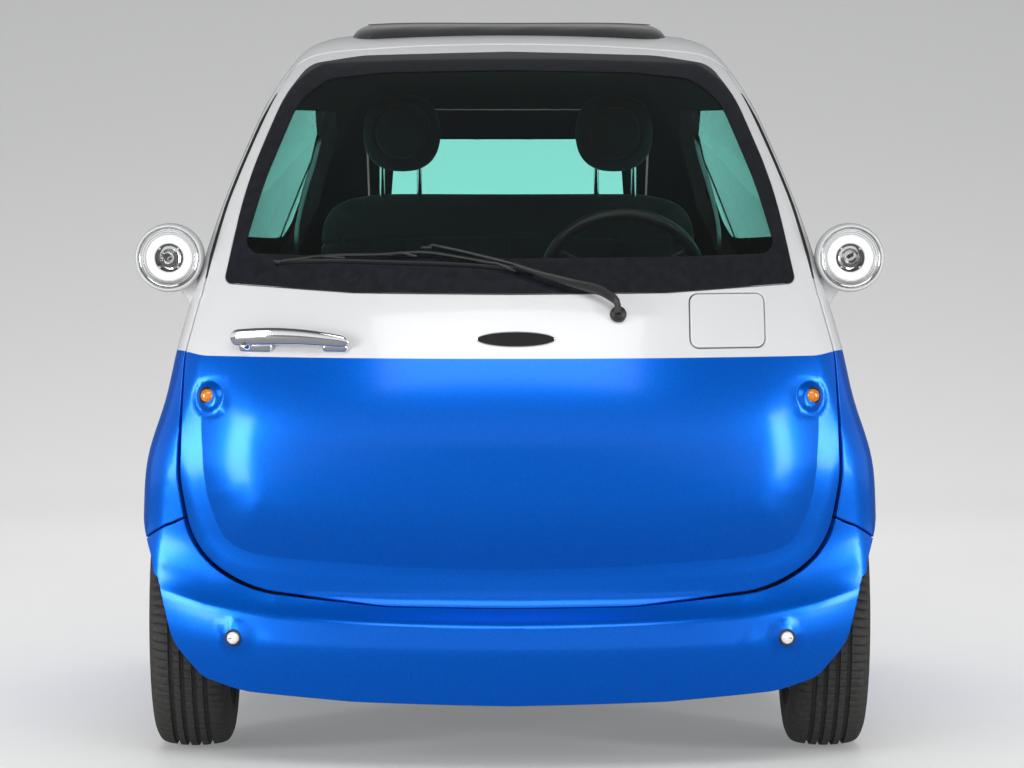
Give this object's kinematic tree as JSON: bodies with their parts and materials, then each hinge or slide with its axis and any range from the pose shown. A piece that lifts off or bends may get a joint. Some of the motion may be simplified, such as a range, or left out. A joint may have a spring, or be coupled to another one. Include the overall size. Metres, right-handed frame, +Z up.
{
  "type": "microcar",
  "caption": "Two-seat bubble car entered through a single front door that carries the windscreen, with lamp pods on stalks, a narrow rear track, a folding roof and a rear hatch.",
  "frame": {"origin": "on the ground at the middle of the length and width", "axes": "+Z up, -Y towards the nose and its door, +X towards the car's left side"},
  "size_m": [1.474, 2.4351, 1.4559],
  "materials": {
    "white_paint": "gloss",
    "blue_paint": "gloss",
    "black_plastic": "satin",
    "dark_steel": "satin",
    "cast_alloy": "satin",
    "tinted_glass": "clear",
    "roof_cloth": "matte",
    "seat_cloth": "matte",
    "bright_chrome": "polished",
    "lamp_glass": "clear",
    "amber_lens": "gloss",
    "red_lens": "gloss",
    "mirror": "polished",
    "tyre_rubber": "matte"
  },
  "bodies": {
    "chassis": {"cabin_shell": "white_paint", "side_panel_left": "blue_paint", "side_panel_right": "blue_paint", "front_bumper": "blue_paint", "rear_bumper": "blue_paint", "floor_tub": "black_plastic", "front_subframe": "dark_steel", "drive_unit": "cast_alloy", "battery_block": "cast_alloy", "side_glass_left": "tinted_glass", "side_glass_right": "tinted_glass", "sunroof": "roof_cloth", "seat_base": "black_plastic", "seat_cushion": "seat_cloth", "seat_back": "seat_cloth", "headrest_left": "seat_cloth", "headrest_right": "seat_cloth", "steering_column": "black_plastic", "headlamp_housing_left": "white_paint", "headlamp_housing_right": "white_paint", "headlamp_lens_left": "lamp_glass", "headlamp_lens_right": "lamp_glass", "mirror_glass_left": "mirror", "mirror_glass_right": "mirror", "bumper_lamp_left": "lamp_glass", "bumper_lamp_right": "lamp_glass", "tail_lamp_left": "red_lens", "tail_lamp_right": "red_lens"},
    "front_door": {"door_frame": "white_paint", "door_panel": "blue_paint", "windscreen": "tinted_glass", "door_handle": "bright_chrome", "nose_badge": "bright_chrome", "wiper": "black_plastic", "indicator_left": "amber_lens", "indicator_right": "amber_lens"},
    "flap": {"service_flap": "white_paint"},
    "hatch": {"hatch_frame": "white_paint", "hatch_panel": "blue_paint", "rear_glass": "tinted_glass"},
    "upright_left": {"knuckle_left": "dark_steel"},
    "upright_right": {"knuckle_right": "dark_steel"},
    "steer_wheel": {"steering_wheel": "black_plastic"},
    "rack": {"steering_rack": "dark_steel"},
    "wheel_front_left": {"tyre_front_left": "tyre_rubber", "rim_front_left": "cast_alloy"},
    "wheel_front_right": {"tyre_front_right": "tyre_rubber", "rim_front_right": "cast_alloy"},
    "wheel_rear_left": {"tyre_rear_left": "tyre_rubber", "rim_rear_left": "cast_alloy"},
    "wheel_rear_right": {"tyre_rear_right": "tyre_rubber", "rim_rear_right": "cast_alloy"}
  },
  "joints": [
    {"name": "door_hinge", "type": "hinge", "parent": "chassis", "child": "front_door", "pos_m": [0.656, -1.045, 0.6], "axis": [0, 0, 1], "range_deg": [0, 80]},
    {"name": "flap_hinge", "type": "hinge", "parent": "front_door", "child": "flap", "pos_m": [0.42, -1.0404, 0.9155], "axis": [-0.9453, -0.3262, 0], "range_deg": [0, 100]},
    {"name": "hatch_hinge", "type": "hinge", "parent": "chassis", "child": "hatch", "pos_m": [0, 0.702, 1.333], "axis": [1, 0, 0], "range_deg": [0, 70]},
    {"name": "steer_left", "type": "hinge", "parent": "chassis", "child": "upright_left", "pos_m": [0.614, -0.74, 0.266], "axis": [0, 0, 1], "range_deg": [-30, 30]},
    {"name": "steer_right", "type": "hinge", "parent": "chassis", "child": "upright_right", "pos_m": [-0.614, -0.74, 0.266], "axis": [0, 0, 1], "range_deg": [-30, 30]},
    {"name": "steer_wheel_turn", "type": "hinge", "parent": "chassis", "child": "steer_wheel", "pos_m": [0.234, -0.47, 0.929], "axis": [0, 0.848, 0.5299], "range_deg": [-361, 361]},
    {"name": "rack_slide", "type": "slide", "parent": "chassis", "child": "rack", "axis": [1, 0, 0], "range_m": [-0.056, 0.056]},
    {"name": "spin_front_left", "type": "hinge", "parent": "upright_left", "child": "wheel_front_left", "pos_m": [0.629, -0.74, 0.266], "axis": [1, 0, 0], "continuous": true},
    {"name": "spin_front_right", "type": "hinge", "parent": "upright_right", "child": "wheel_front_right", "pos_m": [-0.629, -0.74, 0.266], "axis": [1, 0, 0], "continuous": true},
    {"name": "spin_rear_left", "type": "hinge", "parent": "chassis", "child": "wheel_rear_left", "pos_m": [0.48, 0.78, 0.266], "axis": [1, 0, 0], "continuous": true},
    {"name": "spin_rear_right", "type": "hinge", "parent": "chassis", "child": "wheel_rear_right", "pos_m": [-0.48, 0.78, 0.266], "axis": [1, 0, 0], "continuous": true}
  ],
  "couplings": [
    {"joint": "steer_right", "follows": "steer_left", "ratio": 1},
    {"joint": "steer_wheel_turn", "follows": "steer_left", "ratio": 12},
    {"joint": "rack_slide", "follows": "steer_left", "m_per_rad": -0.105}
  ]
}
